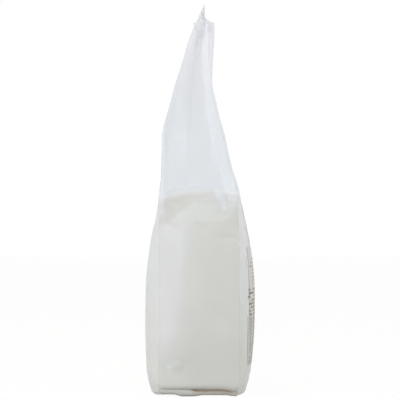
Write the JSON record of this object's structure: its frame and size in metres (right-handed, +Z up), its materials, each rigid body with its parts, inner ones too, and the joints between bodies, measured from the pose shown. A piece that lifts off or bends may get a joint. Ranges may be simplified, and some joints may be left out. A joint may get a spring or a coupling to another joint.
{
  "type": "bag of rice flour",
  "caption": "Clear side-gusseted film bag of white rice flour, standing on its folded flat bottom, with slack film folded in above the flour and a heat seal across the top.",
  "frame": {"origin": "centre of the bag's box, on the floor it stands on", "axes": "+Z up along the bag, +Y from the plain front panel to the printed back panel, +X and -X out of the two side gussets"},
  "size_m": [0.1304, 0.0734, 0.25],
  "materials": {
    "film": "clear thin film with a slight haze, over white flour",
    "flour": "fine white powder with a few specks of bran, matte",
    "ink": "thin grey-brown ink, matte"
  },
  "bodies": {
    "root": {"flour_bag": "film"}
  },
  "joints": []
}
